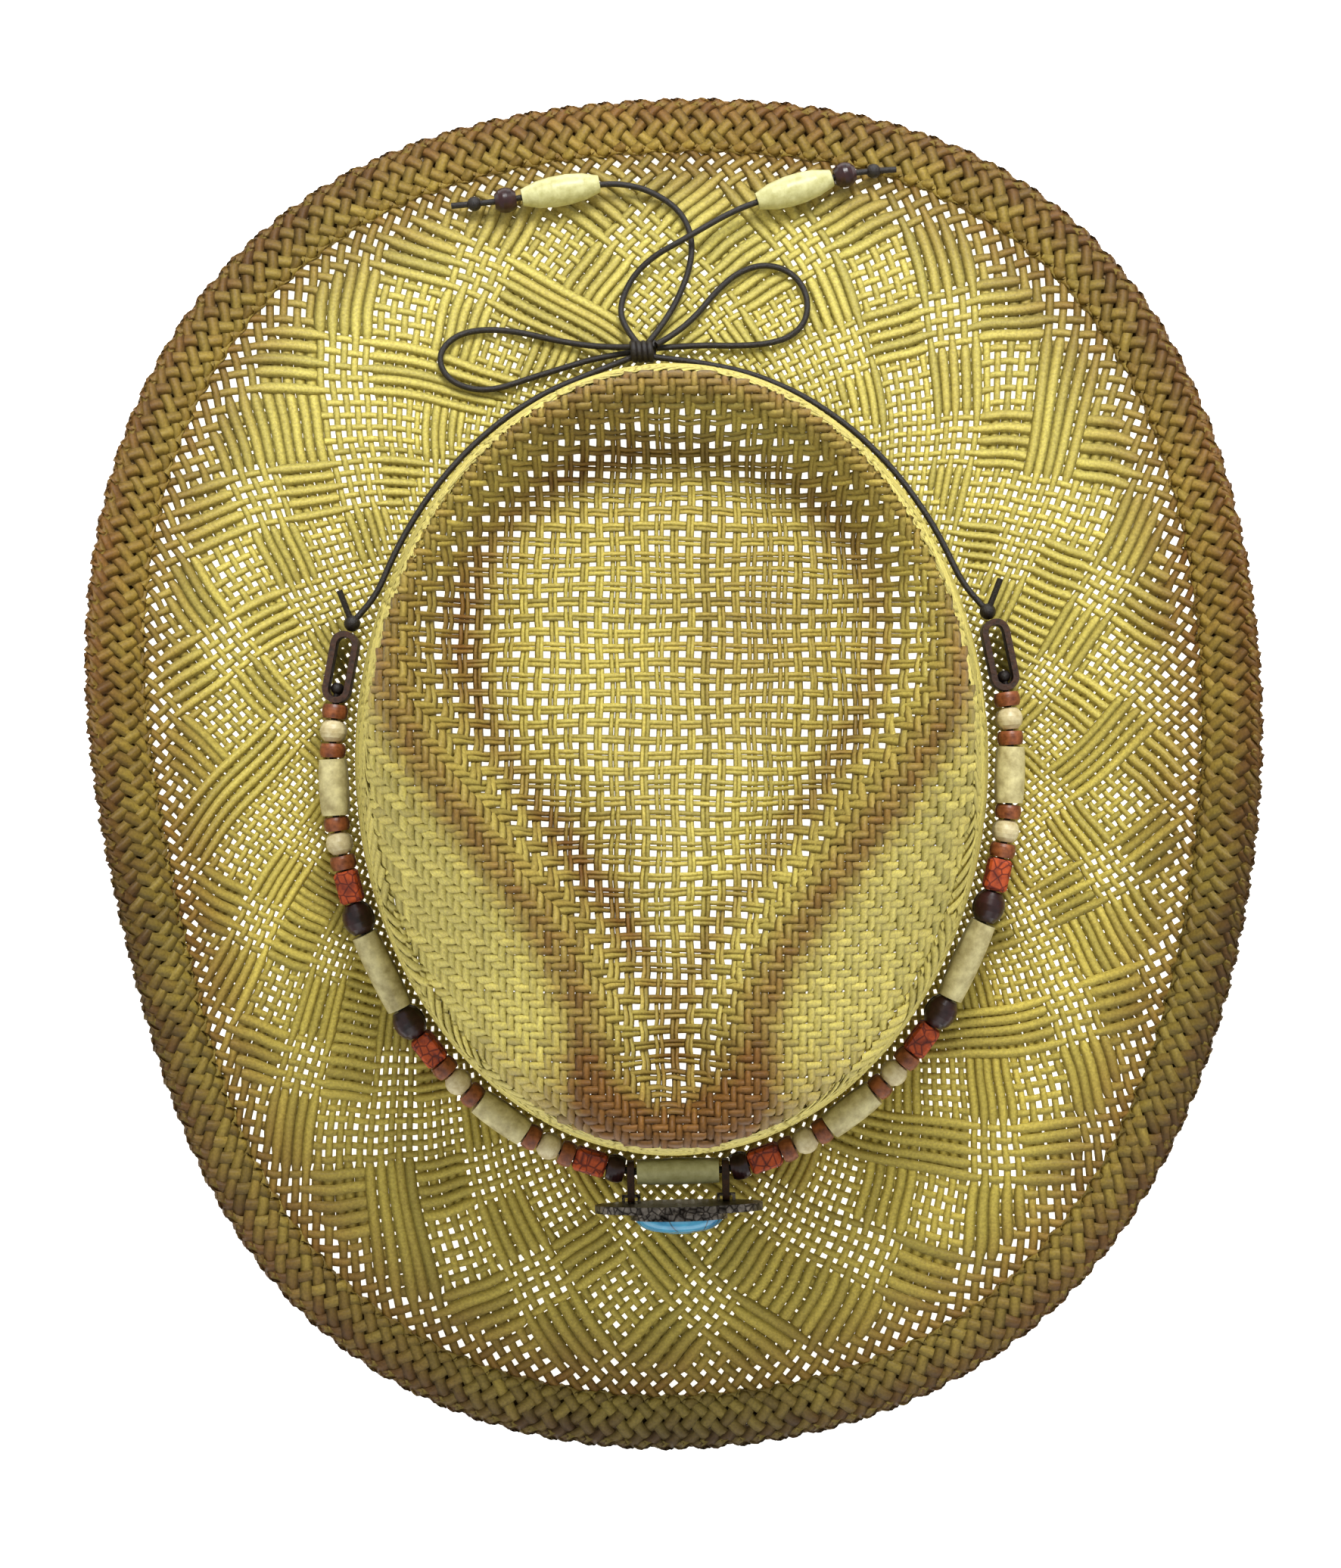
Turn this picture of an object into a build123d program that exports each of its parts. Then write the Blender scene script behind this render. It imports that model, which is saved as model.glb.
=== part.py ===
from build123d import *
import math
import os

# Woven straw western hat with a pinched teardrop crown, a shaped brim and a beaded band.
# Millimetres. +Z is up, -Y is the front. The hat stands on the front and back of its brim.

# ---------------------------------------------------------------- driving dimensions
AXIS_X = -0.36                 # the crown's axis, measured from the middle of the brim's box
AXIS_Y = 3.57

BASE_HALF_WIDTH = 81.5         # crown outside, where it meets the brim
BASE_HALF_LENGTH = 101.5
WIDTH_TAPER = 8.0              # how much each half shrinks over the reference height
LENGTH_TAPER = 7.0
TAPER_HEIGHT = 100.0
TAPER_POWER = 1.4
BASE_HEIGHT = 25.2             # mean height of the joint between crown and brim
BASE_SADDLE = 6.0              # that joint is higher at the sides by this, lower front and back
STRAW = 1.5                    # thickness of the weave
TOP_STRAW = 1.9                # measured straight down through the sloping crown top

RIDGE_HEIGHT = 132.0           # crest of the teardrop, at the middle of its length
RIDGE_SLOPE = 0.033            # the crest falls towards the back by this much per millimetre
BOWL_HALF_WIDTH = 70.0         # teardrop: wide round end at the back
BOWL_HALF_LENGTH = 62.0
BOWL_Y = 30.0
PINCH_HALF_WIDTH = 19.0        # teardrop: narrow round end at the front
PINCH_Y = -72.0
CREASE_DEPTH = 23.0
CREASE_SLOPE = 0.033
CREASE_RUN = 20.0              # width of the slope down from the crest
PLATE_RISE = 7.0               # the middle of the bowl stands this much above its groove
PLATE_RUN = 22.0
DENT_DEPTH = 46.0              # the two finger dents outside the front of the teardrop
DENT_RUN = 52.0
TOP_HALF_WIDTH = 74.5          # where the crown's shoulder turns down into its side
TOP_HALF_LENGTH = 95.0
SHOULDER = 9.0                 # radius of that turn
SHOULDER_EDGE = 1.2            # the top's outermost ring lies this far inside the side

SIDE_RINGS = (0.0, 0.2, 0.4, 0.6, 0.8, 1.0)
TOP_RINGS = (1.0, 0.97, 0.93, 0.88, 0.82, 0.76, 0.69, 0.61, 0.52, 0.42, 0.31, 0.2)
CENTRE_RADIUS = 6.0

SIDE_RISE = 60.0               # how far the brim's sides are rolled up above its front
SIDE_RISE_POWER = 1.6
EDGE_LOW = 2.6                 # lowest part of the brim's top face
EDGE_WIDTH = 13.0              # folded and braided brim edge
EDGE_LAYER = 0.9               # each layer of the fold
EDGE_FOLD = 1.6                # solid width of the fold, outside its slot
TONGUE_INSET = 6.0             # how far the brim's sheet stops short of the outline
REED_WIDTH = 2.4               # shaping reed inside the fold
REED_THICK = 1.2
BRIM_RINGS = 6
RING_POINTS = 32

SWEATBAND_HEIGHT = 32.0
SWEATBAND = 1.4
SWEATBAND_LOW = 0.5            # its lower edge, above the joint
SWEATBAND_SAG = 0.3            # it hangs this clear of the crown's side
FIT_GAP = 0.2                  # between layers that lie against each other
STITCHES = 64
STITCH_LENGTH = 3.0
STITCH_RADIUS = 0.3
STITCH_RISE = 2.5

BAND_OFFSET = 5.0              # bead centre line outside the crown's base
BAND_SLIP = 1.6                # the band sits turned to the wearer's left by this
LOWER_ROW = 4.4                # bead rows above the joint between crown and brim
UPPER_ROW = 12.7
STRING_RADIUS = 0.65
BORE_RADIUS = 0.8
TAB_STATION = 168.0            # front end of each leather tab, along the band from its front
TAB_LENGTH = 18.5
TAB_WIDTH = 7.0
TAB_LEATHER = 1.5
TAB_HEIGHT = 13.4

LACE_STATION = 12.2            # lace loops each side of the front tube
LACE_GAP = 3.4
LACE_WIDTH = 1.8
LACE_THICK = 0.8
LACE_ROOM = 0.5                # inside the lace, above and below the strings
LACE_BACK = 3.6                # back of the lace loops, behind the bead centre line
STAPLE_WIRE = 0.8
CORD_RADIUS = 0.8

CONCHO_HALF_WIDTH = 21.5
CONCHO_HALF_HEIGHT = 15.0
CONCHO_THICK = 2.0
CONCHO_RISE = 7.2              # concho centre above the middle of the two bead rows
CONCHO_STAND = 7.0             # concho back face in front of the bead centre line
STONE_HALF_WIDTH = 11.5
STONE_HALF_HEIGHT = 9.5
STONE_RISE = 5.7
BEZEL_WALL = 0.9

# ---------------------------------------------------------------- the hat's surfaces


def smooth_step(value):
    """0 below 0, 1 above 1, smooth between."""
    value = min(1.0, max(0.0, value))
    return value * value * (3 - 2 * value)


def joint_height(x, y):
    """Height of the saddle-shaped joint between crown and brim, flat outside it."""
    across = (x / BASE_HALF_WIDTH) ** 2
    along = (y / BASE_HALF_LENGTH) ** 2
    return BASE_HEIGHT + BASE_SADDLE * (across - along) / max(1.0, across + along)


def brim_radius(angle):
    """Outline of the brim in plan: a rounded oblong, fuller behind than in front."""
    return (164.2 - 15.6 * math.cos(2 * angle) - 3.3 * math.cos(4 * angle)
            + 3.6 * math.sin(3 * angle) + 1.0 * math.cos(6 * angle)
            + 1.2 * math.cos(angle) - 0.9 * math.sin(2 * angle) - 1.1 * math.sin(4 * angle))


def brim_height(x, y):
    """Top of the brim: level at the crown, rolled up at the sides, dipping front and back."""
    radius = max(1.0, math.hypot(x, y))
    angle = math.atan2(y, x)
    stretch = math.hypot(x / BASE_HALF_WIDTH, y / BASE_HALF_LENGTH)
    inner = radius / max(stretch, 1e-6)
    part = (radius - inner) / (brim_radius(angle) - inner)
    part = min(1.2, max(0.0, part))
    side = math.cos(angle) ** 2
    edge = EDGE_LOW + SIDE_RISE * side ** SIDE_RISE_POWER
    start = joint_height(x, y)
    return start + (edge - start) * part ** (1.3 + 0.4 * side)


def teardrop(x, y):
    """Place inside the teardrop: 0 on its middle line, 1 on its crest, and its half width."""
    if y > BOWL_Y:
        place = math.hypot(x / BOWL_HALF_WIDTH, (y - BOWL_Y) / BOWL_HALF_LENGTH)
        return place, BOWL_HALF_WIDTH
    if y < PINCH_Y:
        return math.hypot(x, y - PINCH_Y) / PINCH_HALF_WIDTH, PINCH_HALF_WIDTH
    part = smooth_step((y - PINCH_Y) / (BOWL_Y - PINCH_Y))
    half = PINCH_HALF_WIDTH + (BOWL_HALF_WIDTH - PINCH_HALF_WIDTH) * part
    return abs(x) / half, half


def crown_top(x, y):
    """Top of the crown: teardrop bowl, crest, two front dents and a rounded shoulder."""
    place, half = teardrop(x, y)
    height = RIDGE_HEIGHT - RIDGE_SLOPE * y
    inside = max(0.0, (1 - place) * half)
    outside = max(0.0, (place - 1) * half)
    depth = CREASE_DEPTH + CREASE_SLOPE * y
    height -= depth * smooth_step(inside / CREASE_RUN)
    height += PLATE_RISE * smooth_step((inside - CREASE_RUN) / PLATE_RUN)
    height -= DENT_DEPTH * smooth_step(outside / DENT_RUN)
    to_side = (1 - math.hypot(x / TOP_HALF_WIDTH, y / TOP_HALF_LENGTH)) * TOP_HALF_WIDTH
    if to_side < SHOULDER:
        turn = max(to_side, SHOULDER_EDGE)
        height -= SHOULDER - math.sqrt(SHOULDER ** 2 - (SHOULDER - turn) ** 2)
    return height


def crown_halves(z):
    """Half width and half length of the crown's side at a height."""
    shrink = (max(0.0, z - BASE_HEIGHT) / TAPER_HEIGHT) ** TAPER_POWER
    return BASE_HALF_WIDTH - WIDTH_TAPER * shrink, BASE_HALF_LENGTH - LENGTH_TAPER * shrink


# ---------------------------------------------------------------- bodies made of rings


def ring(point_at):
    """A closed ring round the hat, smooth through one point for each direction."""
    points = [Vector(*point_at(2 * math.pi * i / RING_POINTS)) for i in range(RING_POINTS)]
    return Wire([Edge.make_spline(points, periodic=True)])


def ring_body(rings, caps=()):
    """A solid skinned from ring to ring, closed by the last step or by caps."""
    pairs = list(zip(rings, rings[1:]))
    if not caps:
        pairs.append((rings[-1], rings[0]))
    faces = list(caps)
    for pair in pairs:
        faces += Shell.make_loft(pair, ruled=True).faces()
    return Solid(Shell(faces))


def crown_side_point(rise, inset):
    """Point on the crown's side: rise is 0 at its lower edge and 1 just below the shoulder."""
    def at(turn):
        across = math.cos(turn)
        along = math.sin(turn)
        bottom = joint_height(BASE_HALF_WIDTH * across, BASE_HALF_LENGTH * along) - STRAW
        shoulder = crown_top_point(1.0, 0, SHOULDER / 2)(turn)[2]
        z = bottom + (shoulder - bottom) * rise
        half_x, half_y = crown_halves(z)
        return (half_x - inset) * across, (half_y - inset) * along, z
    return at


def crown_top_point(share, inset, drop):
    """Point on the crown's top: share is 1 at the shoulder and 0 on the axis."""
    def at(turn):
        edge = share * (1 - SHOULDER_EDGE / TOP_HALF_WIDTH)
        x = edge * TOP_HALF_WIDTH * math.cos(turn)
        y = edge * TOP_HALF_LENGTH * math.sin(turn)
        keep = 1 - inset * smooth_step((share - 0.6) / 0.4) / math.hypot(x, y)
        return x * keep, y * keep, crown_top(x, y) - drop
    return at


def crown_rings(inset, drop):
    rings = [ring(crown_side_point(rise, inset)) for rise in SIDE_RINGS]
    rings += [ring(crown_top_point(share, inset, drop)) for share in TOP_RINGS]
    level = crown_top(0, 0) - drop
    rings.append(ring(lambda turn: (CENTRE_RADIUS * math.cos(turn),
                                    CENTRE_RADIUS * math.sin(turn), level)))
    return rings


def brim_point(part, inset, drop):
    """Point on the brim: part is 0 at the crown and 1 at the edge less the inset."""
    def at(turn):
        across = math.cos(turn)
        along = math.sin(turn)
        inner = 1 / math.hypot(across / BASE_HALF_WIDTH, along / BASE_HALF_LENGTH) + FIT_GAP
        radius = inner + (brim_radius(turn) - inset - inner) * part
        x = radius * across
        y = radius * along
        return x, y, brim_height(x, y) - drop
    return at


def edge_rings(corners):
    """Rings near the brim's outline, each at an inset and a drop below the brim's top."""
    return [ring(brim_point(1, inset, drop)) for inset, drop in corners]


# ---------------------------------------------------------------- crown, brim, sweatband


def make_crown():
    """One woven skin: up the side, over the crest of the teardrop and down into its bowl."""
    outside = crown_rings(0, 0)
    inside = crown_rings(STRAW, TOP_STRAW)
    return ring_body(inside[::-1] + outside, [Face(inside[-1]), Face(outside[-1])])


def make_sweatband():
    """The inner band, from just above the brim joint up the inside of the crown."""
    def wall_point(rise, inset):
        def at(turn):
            across = math.cos(turn)
            along = math.sin(turn)
            z = joint_height(BASE_HALF_WIDTH * across, BASE_HALF_LENGTH * along) + rise
            half_x, half_y = crown_halves(z)
            return (half_x - inset) * across, (half_y - inset) * along, z
        return at
    outer = STRAW + FIT_GAP + SWEATBAND_SAG
    inner = outer + SWEATBAND
    rises = [SWEATBAND_LOW + SWEATBAND_HEIGHT * i / 3 for i in range(4)]
    rings = [ring(wall_point(rise, outer)) for rise in rises]
    rings += [ring(wall_point(rise, inner)) for rise in rises[::-1]]
    return ring_body(rings)


def make_brim():
    """The woven brim. Its outer margin is a tongue held inside the folded edge."""
    parts = [i / BRIM_RINGS for i in range(BRIM_RINGS + 1)]
    rings = [ring(brim_point(part, TONGUE_INSET, 0)) for part in parts]
    rings += [ring(brim_point(part, TONGUE_INSET, STRAW)) for part in parts[::-1]]
    return ring_body(rings)


def make_brim_edge():
    """The strands folded back and braided: a ring with an upper and a lower layer."""
    slot_top = -FIT_GAP
    slot_bottom = STRAW + FIT_GAP
    middle = EDGE_WIDTH / 2
    return ring_body(edge_rings([
        (EDGE_WIDTH, slot_top - EDGE_LAYER), (middle, slot_top - EDGE_LAYER),
        (0, slot_top - EDGE_LAYER), (0, slot_bottom + EDGE_LAYER),
        (middle, slot_bottom + EDGE_LAYER), (EDGE_WIDTH, slot_bottom + EDGE_LAYER),
        (EDGE_WIDTH, slot_bottom), (middle, slot_bottom), (EDGE_FOLD, slot_bottom),
        (EDGE_FOLD, slot_top), (middle, slot_top), (EDGE_WIDTH, slot_top)]))


def make_brim_reed():
    """The flat reed that holds the brim's shape, lying in the bottom of the fold."""
    near = EDGE_FOLD + FIT_GAP
    top = (STRAW - REED_THICK) / 2
    return ring_body(edge_rings([(near, top), (near, top + REED_THICK),
                                 (near + REED_WIDTH, top + REED_THICK),
                                 (near + REED_WIDTH, top)]))


def make_stitches():
    """Running stitches that hold the sweatband's lower edge to the weave."""
    stitches = []
    inset = STRAW + FIT_GAP + SWEATBAND_SAG + SWEATBAND + STITCH_RADIUS + 0.35
    for i in range(STITCHES):
        turn = 2 * math.pi * i / STITCHES
        x = (BASE_HALF_WIDTH - inset) * math.cos(turn)
        y = (BASE_HALF_LENGTH - inset) * math.sin(turn)
        way = Vector(-BASE_HALF_WIDTH * math.sin(turn), BASE_HALF_LENGTH * math.cos(turn), 0)
        place = Vector(x, y, joint_height(x, y) + STITCH_RISE)
        stitches.append(Plane(place, z_dir=way) * Cylinder(STITCH_RADIUS, STITCH_LENGTH))
    return Compound(stitches)



# ---------------------------------------------------------------- the beaded band


def band_stations(count=3600):
    """Arc length from the front of the band to each of many points round one half of it."""
    half_x = BASE_HALF_WIDTH + BAND_OFFSET
    half_y = BASE_HALF_LENGTH + BAND_OFFSET
    lengths = [0.0]
    for i in range(count):
        middle = math.pi * (i + 0.5) / count
        lengths.append(lengths[-1] + math.hypot(half_x * math.cos(middle),
                                                half_y * math.sin(middle)) * math.pi / count)
    return lengths


STATIONS = band_stations()


def band_point(station, rise):
    """Point on the bead line, a station right of the front (left if negative), at a rise."""
    distance = abs(station + BAND_SLIP)
    side = 1 if station + BAND_SLIP >= 0 else -1
    index = next(i for i, length in enumerate(STATIONS) if length >= distance)
    turn = math.pi * index / (len(STATIONS) - 1)
    x = side * (BASE_HALF_WIDTH + BAND_OFFSET) * math.sin(turn)
    y = -(BASE_HALF_LENGTH + BAND_OFFSET) * math.cos(turn)
    return Vector(x, y, joint_height(x, y) + rise)


def barrel(length, end_radius, middle_radius, bore=BORE_RADIUS):
    """A bead along Z: straight bore, swollen outside in five turned facets."""
    turned = end_radius + 0.72 * (middle_radius - end_radius)
    with BuildPart() as bead:
        with BuildSketch(Plane.XZ):
            with BuildLine():
                Polyline((end_radius, length / 2), (bore, length / 2),
                         (bore, -length / 2), (end_radius, -length / 2),
                         (turned, -0.3 * length), (middle_radius, -0.1 * length),
                         (middle_radius, 0.1 * length), (turned, 0.3 * length),
                         (end_radius, length / 2))
            make_face()
        revolve(axis=Axis.Z)
    return bead.part


def square_bead(length, side):
    block = Box(side, side, length)
    block = chamfer(block.edges(), 0.7)
    return block - Cylinder(BORE_RADIUS, 2 * length)


BEADS = {
    "brown_disc": (3.5, barrel(3.5, 2.7, 3.1)),
    "cream_round": (5.5, barrel(5.5, 1.9, 3.25)),
    "short_tube": (14.35, barrel(14.35, 3.3, 3.65)),
    "long_tube": (21.0, barrel(21.0, 3.1, 3.5)),
    "front_tube": (21.0, barrel(21.0, 2.9, 3.2)),
    "orange_square": (8.25, square_bead(8.25, 5.8)),
    "dark_round": (7.8, barrel(7.8, 2.3, 3.9)),
    "dark_short": (4.4, barrel(4.4, 2.8, 3.4)),
}
UNIT = ["brown_disc", "cream_round", "brown_disc"]
SIDE_ORDER = (["dark_short", "orange_square"] + UNIT + ["short_tube"] + UNIT
              + ["orange_square", "dark_round", "long_tube", "dark_round", "orange_square"]
              + UNIT + ["short_tube"] + UNIT)


def side_layout():
    """Kind, start and end of each bead on one side, from the lace back to the tab."""
    first = LACE_STATION + LACE_GAP / 2
    total = sum(BEADS[kind][0] for kind in SIDE_ORDER)
    gap = (TAB_STATION - first - total) / len(SIDE_ORDER)
    print("gap between beads", round(gap, 3))
    layout = []
    start = first
    for kind in SIDE_ORDER:
        layout.append((kind, start, start + BEADS[kind][0]))
        start += BEADS[kind][0] + gap
    return layout, gap


LAYOUT, BEAD_GAP = side_layout()


def placed_bead(kind, start, end, rise):
    first = band_point(start, rise)
    last = band_point(end, rise)
    place = Plane((first + last) / 2, z_dir=last - first, x_dir=(last - first).cross(Vector(0, 0, 1)))
    return place * BEADS[kind][1]


def string_route(rise):
    """One string through a whole row: a point in each gap between beads."""
    stations = [start - BEAD_GAP / 2 for kind, start, end in LAYOUT[1:]]
    beside_lace = [BEADS["front_tube"][0] / 2 + 0.1, LAYOUT[0][1] - 0.1]
    stations = beside_lace + stations + [TAB_STATION + TAB_LEATHER / 2]
    right = [band_point(station, rise) for station in stations]
    left = [band_point(-station, rise) for station in stations]
    inner_right = band_point(TAB_STATION + TAB_LEATHER + 2.2, rise)
    inner_left = band_point(-TAB_STATION - TAB_LEATHER - 2.2, rise)
    return [inner_left] + left[::-1] + right + [inner_right]


def corner_radii(points):
    """The largest arcs that the runs allow: 0.45 of the shorter run over tan(half the turn)."""
    radii = []
    for before, here, after in zip(points, points[1:], points[2:]):
        turn = math.radians((here - before).get_angle(after - here))
        shorter = min((here - before).length, (after - here).length)
        radii.append(0.45 * shorter / math.tan(turn / 2))
    return radii


def cord_tube(name, points, radius):
    """A round cord along straight runs joined by tangent arcs."""
    points = [Vector(*point) for point in points]
    radii = corner_radii(points)
    path = FilletPolyline(*points, radius=radii)
    section = Plane(points[0], z_dir=points[1] - points[0]) * Circle(radius)
    tube = sweep(section, path=path)
    expected = math.pi * radius ** 2 * path.length
    print(name, "length", round(path.length, 1), "tightest radius", round(min(radii), 1),
          "volume share", round(tube.volume / expected, 4))
    return tube


def make_string(name, rise):
    route = string_route(rise)
    string = cord_tube(name, route, STRING_RADIUS)
    for end in (route[0], route[-1]):
        string = string + Pos(*end) * Sphere(1.5)
    return string


def band_frame(station, rise):
    """A plane on the band: its X along the band, its Y away from the crown, its Z up."""
    step = 1.0
    way = band_point(station + step, rise) - band_point(station - step, rise)
    flat = Vector(way.X, way.Y, 0)
    return Plane(band_point(station, rise), x_dir=flat, z_dir=Vector(0, 0, 1))


def make_tab(side):
    """A strip of leather folded into a long loop, open above and below."""
    middle = side * (TAB_STATION + TAB_LENGTH / 2)
    outer = SlotOverall(TAB_LENGTH, TAB_WIDTH)
    inner = SlotOverall(TAB_LENGTH - 2 * TAB_LEATHER, TAB_WIDTH - 2 * TAB_LEATHER)
    loop = extrude(outer - inner, amount=TAB_HEIGHT / 2, both=True)
    loop = band_frame(middle, (LOWER_ROW + UPPER_ROW) / 2) * loop
    for rise in (LOWER_ROW, UPPER_ROW):
        near = band_point(side * (TAB_STATION - 4), rise)
        far = band_point(side * (TAB_STATION + 5), rise)
        hole = Plane((near + far) / 2, z_dir=far - near) * Cylinder(STRING_RADIUS + 0.2, 9)
        loop = loop - hole
    return loop


TAB_KNOT_RISE = 6.0


def tab_knot_place(side):
    return band_point(side * (TAB_STATION + TAB_LENGTH + 2.3), TAB_KNOT_RISE)


def make_tab_knot(side):
    """The knot that gathers the back of the tab, with its short cut end."""
    centre = tab_knot_place(side)
    knot = Pos(*centre) * Sphere(2.1)
    tail = Vector(side * 3.2, 8.4, 1.2)
    stub = Plane(centre + tail / 2, z_dir=tail) * Cylinder(CORD_RADIUS, tail.length)
    knot = knot + stub
    return knot - make_tab(side)


BOW_KNOT = (-7.3, 105.3, 23.2)


def band_cord_route(side):
    """Round the back of the crown's base, from the tab knot to the bow."""
    hug = CORD_RADIUS + 0.6
    start = tab_knot_place(side)
    first = math.asin(min(1.0, (start.Y + 7) / (BASE_HALF_LENGTH + hug)))
    last = math.acos(abs(BOW_KNOT[0] + side * 13) / (BASE_HALF_WIDTH + hug))
    points = [start]
    count = 7
    for i in range(count):
        turn = first + (last - first) * i / (count - 1)
        x = side * (BASE_HALF_WIDTH + hug) * math.cos(turn)
        y = (BASE_HALF_LENGTH + hug) * math.sin(turn)
        points.append(Vector(x, y, joint_height(x, y) + TAB_KNOT_RISE - 2.2 * i / count))
    points.append(Vector(BOW_KNOT[0] + side * 2.7, BOW_KNOT[1] - 1.4, BOW_KNOT[2]))
    return points


# ---------------------------------------------------------------- the bow's free cords
# Each route is a list of places on the brim, from the bow's knot outwards.

LEFT_LOOP = [
    (-10.6, 106.4, 24.4), (-17.9, 106.4, 21.8), (-29.4, 108.2, 20.1), (-39.2, 110.6, 19.8),
    (-48.6, 111.4, 19.9), (-56.2, 109.6, 20.6), (-60.4, 104.4, 21.9), (-58.3, 98.6, 22.9),
    (-52.4, 95.6, 23.2), (-45.6, 95.4, 22.9), (-36.8, 98.4, 22.1), (-27.6, 101.3, 21.4),
    (-18.6, 104.0, 21.3), (-10.4, 105.2, 21.8)]
RIGHT_LOOP = [
    (-4.0, 107.0, 24.4), (0.9, 109.9, 21.5), (6.7, 115.2, 18.8), (11.4, 121.2, 17.5),
    (17.2, 126.4, 16.4), (24.2, 128.6, 15.9), (31.2, 126.4, 16.4), (35.2, 120.6, 17.9),
    (35.0, 113.8, 19.4), (31.0, 109.3, 20.1), (24.6, 107.4, 20.4), (16.0, 106.9, 20.4),
    (7.0, 107.2, 20.4), (-3.8, 106.3, 21.7)]
LEFT_TAIL = [
    (-6.0, 107.6, 23.4), (-2.3, 112.4, 20.2), (1.8, 119.6, 17.8), (4.9, 127.8, 16.0),
    (5.4, 135.8, 14.1), (2.2, 142.8, 12.3), (-5.0, 147.6, 11.8), (-11.4, 149.4, 12.6),
    (-18.5, 149.6, 13.4), (-40.1, 145.6, 14.4), (-46.2, 144.7, 14.4), (-51.2, 144.3, 13.6)]
RIGHT_TAIL = [
    (-9.0, 107.6, 23.4), (-12.9, 112.6, 20.4), (-13.2, 118.6, 18.1), (-10.0, 125.4, 16.9),
    (-4.4, 130.6, 17.6), (2.0, 134.0, 18.8), (8.6, 137.9, 18.2), (14.8, 141.6, 15.8),
    (21.9, 144.7, 14.9), (42.0, 151.2, 13.1), (47.8, 152.6, 12.4), (52.4, 153.0, 11.6)]
TAIL_BEAD = (20.4, barrel(20.4, 2.2, 4.0, 1.1))
TAIL_ROUND = (5.6, barrel(5.6, 1.9, 3.3, 1.1))


def along(start, end, distance):
    start = Vector(*start)
    end = Vector(*end)
    return start + (end - start) * (distance / (end - start).length)


def bead_between(bead, start, end, distance):
    """A bead on a cord's straight run, its near face at a distance from the run's start."""
    length, shape = bead
    centre = along(start, end, distance + length / 2)
    return Plane(centre, z_dir=Vector(*end) - Vector(*start)) * shape


def end_knot(start, end):
    """A round overhand knot with its short cut end."""
    way = (Vector(*end) - Vector(*start)).normalized()
    knot = Pos(*end) * Sphere(1.9)
    stub = Plane(Vector(*end) + way * 3.5, z_dir=way) * Cylinder(CORD_RADIUS, 5)
    return knot + stub


def make_bow_knot():
    shape = barrel(7.4, 1.8, 3.1, 0.4) + Cylinder(0.6, 7.4)
    return Plane(Vector(*BOW_KNOT), z_dir=Vector(1, 0, 0)) * shape


# ---------------------------------------------------------------- the concho


def concho_frame():
    middle = (LOWER_ROW + UPPER_ROW) / 2
    return band_frame(0, middle)


def make_concho():
    """Everything on the concho, built on its back face: X across, Y forward, Z up."""
    frame = concho_frame()
    upright = Plane.XZ.offset(CONCHO_STAND)
    plate_sketch = upright * Pos(0, CONCHO_RISE) * Ellipse(CONCHO_HALF_WIDTH, CONCHO_HALF_HEIGHT)
    plate = extrude(plate_sketch, amount=CONCHO_THICK)
    front = Plane.XZ.offset(CONCHO_STAND + CONCHO_THICK)
    ring = (Ellipse(STONE_HALF_WIDTH + BEZEL_WALL, STONE_HALF_HEIGHT + BEZEL_WALL)
            - Ellipse(STONE_HALF_WIDTH, STONE_HALF_HEIGHT))
    bezel = extrude(front * Pos(0, CONCHO_RISE) * ring, amount=2.0)
    wires = []
    for share, rise in ((1.0, 0.0), (0.99, 1.9), (0.86, 3.7), (0.6, 5.0), (0.25, STONE_RISE)):
        oval = Ellipse((STONE_HALF_WIDTH - 0.05) * share, (STONE_HALF_HEIGHT - 0.05) * share)
        plane = Plane.XZ.offset(CONCHO_STAND + CONCHO_THICK + rise)
        wires.append((plane * Pos(0, CONCHO_RISE) * oval).face().outer_wire())
    stone = Solid.make_loft(wires)
    staples = [make_staple(side * LACE_STATION) for side in (-1, 1)]
    laces = [make_lace(side * LACE_STATION) for side in (-1, 1)]
    return frame, plate, bezel, stone - bezel, staples, laces


def make_staple(x):
    """A little wire bridge on the plate's back, with its bar along the band."""
    bar = Pos(x, -CONCHO_STAND + 1.6, 0) * Box(4.8, STAPLE_WIRE, STAPLE_WIRE)
    legs = [Pos(x + side * 2.0, -CONCHO_STAND + 1.0, 0) * Box(STAPLE_WIRE, 2.0, STAPLE_WIRE)
            for side in (-1, 1)]
    return bar + legs[0] + legs[1]


def make_lace(x):
    """A flat lace knotted round both strings and through the staple behind the concho."""
    half_height = (UPPER_ROW - LOWER_ROW) / 2 + STRING_RADIUS + LACE_ROOM + LACE_THICK
    back = LACE_BACK
    front = -CONCHO_STAND + 0.2
    centre = (back + front) / 2
    depth = back - front
    outer = Pos(x, centre, 0) * Box(LACE_WIDTH, depth, 2 * half_height)
    outer = fillet(outer.edges().filter_by(Axis.X), 1.6)
    inner = Pos(x, centre, 0) * Box(2 * LACE_WIDTH, depth - 2 * LACE_THICK,
                                    2 * (half_height - LACE_THICK))
    inner = fillet(inner.edges().filter_by(Axis.X), 0.9)
    return outer - inner


# ---------------------------------------------------------------- all nodes


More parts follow.
